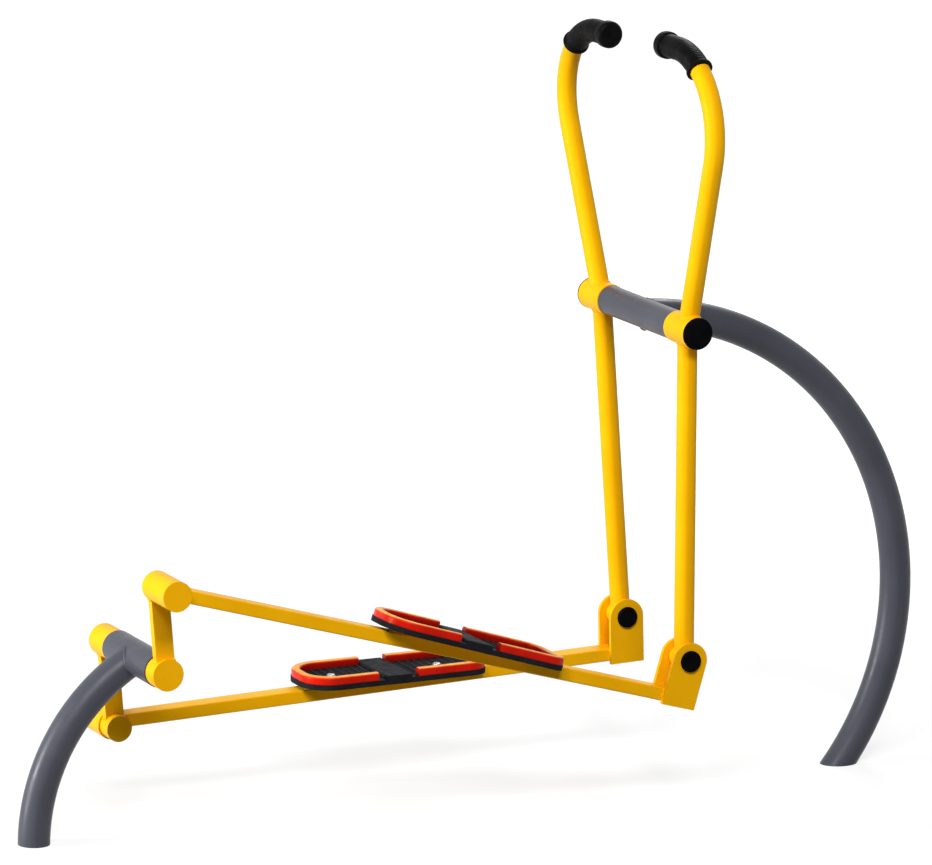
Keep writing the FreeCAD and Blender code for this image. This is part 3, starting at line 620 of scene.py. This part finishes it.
# Pedal trays: black moulded treads with cross ribs and a raised bar under the arch of the
# foot. Rows of small round pips between the ribs keep a wet sole from sliding.
pedal_from_pin = {"left": 0.574, "right": 0.615}
pedal_length, pedal_ahead, toe_drop = 0.377, 0.005, 0.003
nose_down = math.radians(1.6)
tray_top = 0.010
heel_half_width, toe_half_width = 0.076, 0.070
rib_spacing, rib_rows = 0.016, 9
arch_bar_half, bolt_reach = 0.027, 0.111
pip_radius, pip_height, pip_pitch, pip_sides = 0.0019, 0.0013, 0.0085, 8
pip_root = 0.0005
# Each ring of a pip: its share of the radius, and its height over the tray.
pip_rings = ((1.0, -pip_root), (0.9, pip_height * 0.7), (0.55, pip_height))
clear_of_end, clear_of_edge, clear_of_bolt = 0.030, 0.0225, 0.0135
border_depth, heel_corner, toe_corner = 0.0185, 0.0435, 0.016
tray_moulding = moulded("tray_moulding", colour=(0.010, 0.011, 0.013), wear_and_highlight=(0.016, 0.017, 0.020),
                        roughness=0.6, specular=0.03, grain=900.0, depth=0.0003)


def pedal_frame(side):
    """Matrix from the pedal's own frame, under its raised bar, to its place."""
    lift = (pedal_length / 2 + pedal_ahead) * math.sin(nose_down) - toe_drop
    under_bar = (pedal_from_pin[side], lever_y, beam_depth / 2 + lift)
    return beam_frame(side) @ Matrix.Translation(under_bar) @ Matrix.Rotation(nose_down, 4, "Y")


def pip_places():
    """Centres of the pips: one row between each two ribs, clear of the bolts and the borders."""
    places = []
    for way in (-1, 1):
        end = way * pedal_length / 2 + pedal_ahead
        inner_corner = heel_corner if way < 0 else toe_corner
        for row in range(1, rib_rows + 1):
            x = way * (arch_bar_half + rib_spacing * row)
            from_end = way * (end - x)
            if from_end < clear_of_end:
                continue
            share = (x + pedal_length / 2 - pedal_ahead) / pedal_length
            half = heel_half_width + (toe_half_width - heel_half_width) * share - clear_of_edge
            depth = from_end - border_depth
            if depth < inner_corner:
                half -= inner_corner - math.sqrt(inner_corner ** 2 - (inner_corner - depth) ** 2)
            steps = int(half / pip_pitch)
            for k in range(-steps, steps + 1):
                y = k * pip_pitch
                if math.hypot(x - way * bolt_reach, y) > clear_of_bolt:
                    places.append((x, y))
    return places


for side in ("left", "right"):
    coat(tray_moulding, "pedal_base_" + side)
    placed = pedal_frame(side)
    points, faces = [], []
    for x, y in pip_places():
        first = len(points)
        for share, height in pip_rings:
            radius = pip_radius * share
            for cosine, sine in circle(pip_sides):
                points.append(placed @ Vector((x + radius * cosine, y + radius * sine, tray_top + height)))
        faces += ring_faces(first, len(pip_rings), pip_sides)
        faces.append(tuple(range(len(points) - pip_sides, len(points))))
    add_piece("tread_pips_" + side, points, faces, tray_moulding, side + "_beam",
              inside_out=side == "right")


# Pedal borders: red mouldings, clipped round the heel and the toe of each tray. A painted
# highlight turns their upward faces orange in patches, and painted shade darkens the inner corners.
red_fresh, red_deep, top_highlight_colour = (0.64, 0.009, 0.004), (0.52, 0.006, 0.003), (0.90, 0.38, 0.02)
painted_shade_colour, shade_reach, shade_rays = (0.16, 0.004, 0.003), 0.03, 6
red_border, tree, shader = new_finish("red_border", roughness=0.32, specular=0.22,
                                      gloss_tint=(1.0, 0.4, 0.15))
clouding = spread(tree, noise(tree, per_metre=28.0, detail=4.0), 0.35, 0.65, 0.0, 1.0)
base = blend_colours(tree, clouding, red_fresh, red_deep)
facing = tree.nodes.new("ShaderNodeNewGeometry")
facing_parts = tree.nodes.new("ShaderNodeSeparateXYZ")
tree.links.new(facing.outputs["True Normal"], facing_parts.inputs[0])
# Painted highlight: faces that point up are blended in patches towards pale orange, in place of gloss on
# the borders' tops.
upward = spread(tree, facing_parts.outputs["Z"], 0.55, 0.95, 0.0, 1.0)
patches = spread(tree, noise(tree, per_metre=60.0, detail=4.0), 0.3, 0.6, 0.55, 1.0)
wear_and_highlight = blend_colours(tree, product(tree, upward, patches), base, top_highlight_colour)
# Painted shade: where ambient occlusion finds close surfaces, the colour darkens towards deep red in the
# inner corners.
occlusion_probe = tree.nodes.new("ShaderNodeAmbientOcclusion")
occlusion_probe.samples = shade_rays
occlusion_probe.inputs["Distance"].default_value = shade_reach
painted_shade_mask = spread(tree, occlusion_probe.outputs["AO"], 0.4, 0.95, 1.0, 0.0)
tree.links.new(blend_colours(tree, painted_shade_mask, wear_and_highlight, painted_shade_colour), shader.inputs["Base Color"])
uneven_gloss(tree, shader, noise(tree, per_metre=80.0, detail=3.0), 0.25, 0.4)
mould_grain = noise(tree, per_metre=1200.0, detail=2.0)
relief(tree, shader, mould_grain, strength=0.25, depth=0.0001, edge_round=0.0007)
coat(red_border, "pedal_rims_left", "pedal_rims_right")


# Pedal plates and bolts: a coated steel plate under each tray, and two zinc-plated button
# heads with a hexagon socket and a washer that hold the tray down through it.
head_radius, head_height, head_steps = 0.0078, 0.0040, 8
socket_radius, socket_depth = 0.0030, 0.0024
# Rings in and round the socket, as shares of its radius.
socket_cone, socket_rim, socket_brow = 0.2, 1.25, 1.4
washer_radius, washer_height, washer_edge = 0.0088, 0.0012, 0.0002
shank_radius, shank_length = 0.0049, 0.028
bolt_seat = tray_top + 0.00005
bolt_sides = 36
zinc_plate = turned_metal("zinc_plate", colour=(0.42, 0.42, 0.43), dark=(0.30, 0.30, 0.31),
                          roughness=0.32)


def bolt_rings():
    """Radius and height of each ring, from the socket's floor over the head and down the shank."""
    socket_floor = head_height - socket_depth
    brow_radius = socket_radius * socket_brow
    rings = [(socket_radius * socket_cone, socket_floor), (socket_radius, socket_floor),
             (socket_radius, head_height), (socket_radius * socket_rim, head_height)]
    for sine, cosine in quarter_turn(head_steps):
        rings.append((brow_radius + (head_radius - brow_radius) * sine,
                      washer_height + (head_height - washer_height) * cosine))
    rings += [(washer_radius - washer_edge, washer_height), (washer_radius, washer_height - washer_edge),
              (washer_radius, 0.0), (shank_radius, 0.0), (shank_radius, -shank_length)]
    return rings


def hexagon_reach(turn):
    """Distance to a hexagon's edge, as a share of the distance to its corners."""
    from_flat = (turn + math.pi / 6) % (math.pi / 3) - math.pi / 6
    return math.cos(math.pi / 6) / math.cos(from_flat)


for side in ("left", "right"):
    coat(yellow_coat, "pedal_bracket_" + side)
    placed = pedal_frame(side)
    rings = bolt_rings()
    points, faces = [], []
    for way in (-1, 1):
        first = len(points)
        for radius, z in rings:
            for k in range(bolt_sides):
                turn = 2 * math.pi * k / bolt_sides
                reach = radius * (hexagon_reach(turn) if radius <= socket_radius else 1.0)
                points.append(placed @ Vector((way * bolt_reach + reach * math.cos(turn),
                                               reach * math.sin(turn), bolt_seat + z)))
        faces += ring_faces(first, len(rings), bolt_sides)
        faces.append(tuple(reversed(range(first, first + bolt_sides))))
        faces.append(tuple(range(len(points) - bolt_sides, len(points))))
    piece = add_piece("button_bolts_" + side, points, faces, zinc_plate, side + "_beam",
                      inside_out=side == "left")
    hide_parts("pedal_bolts_" + side)
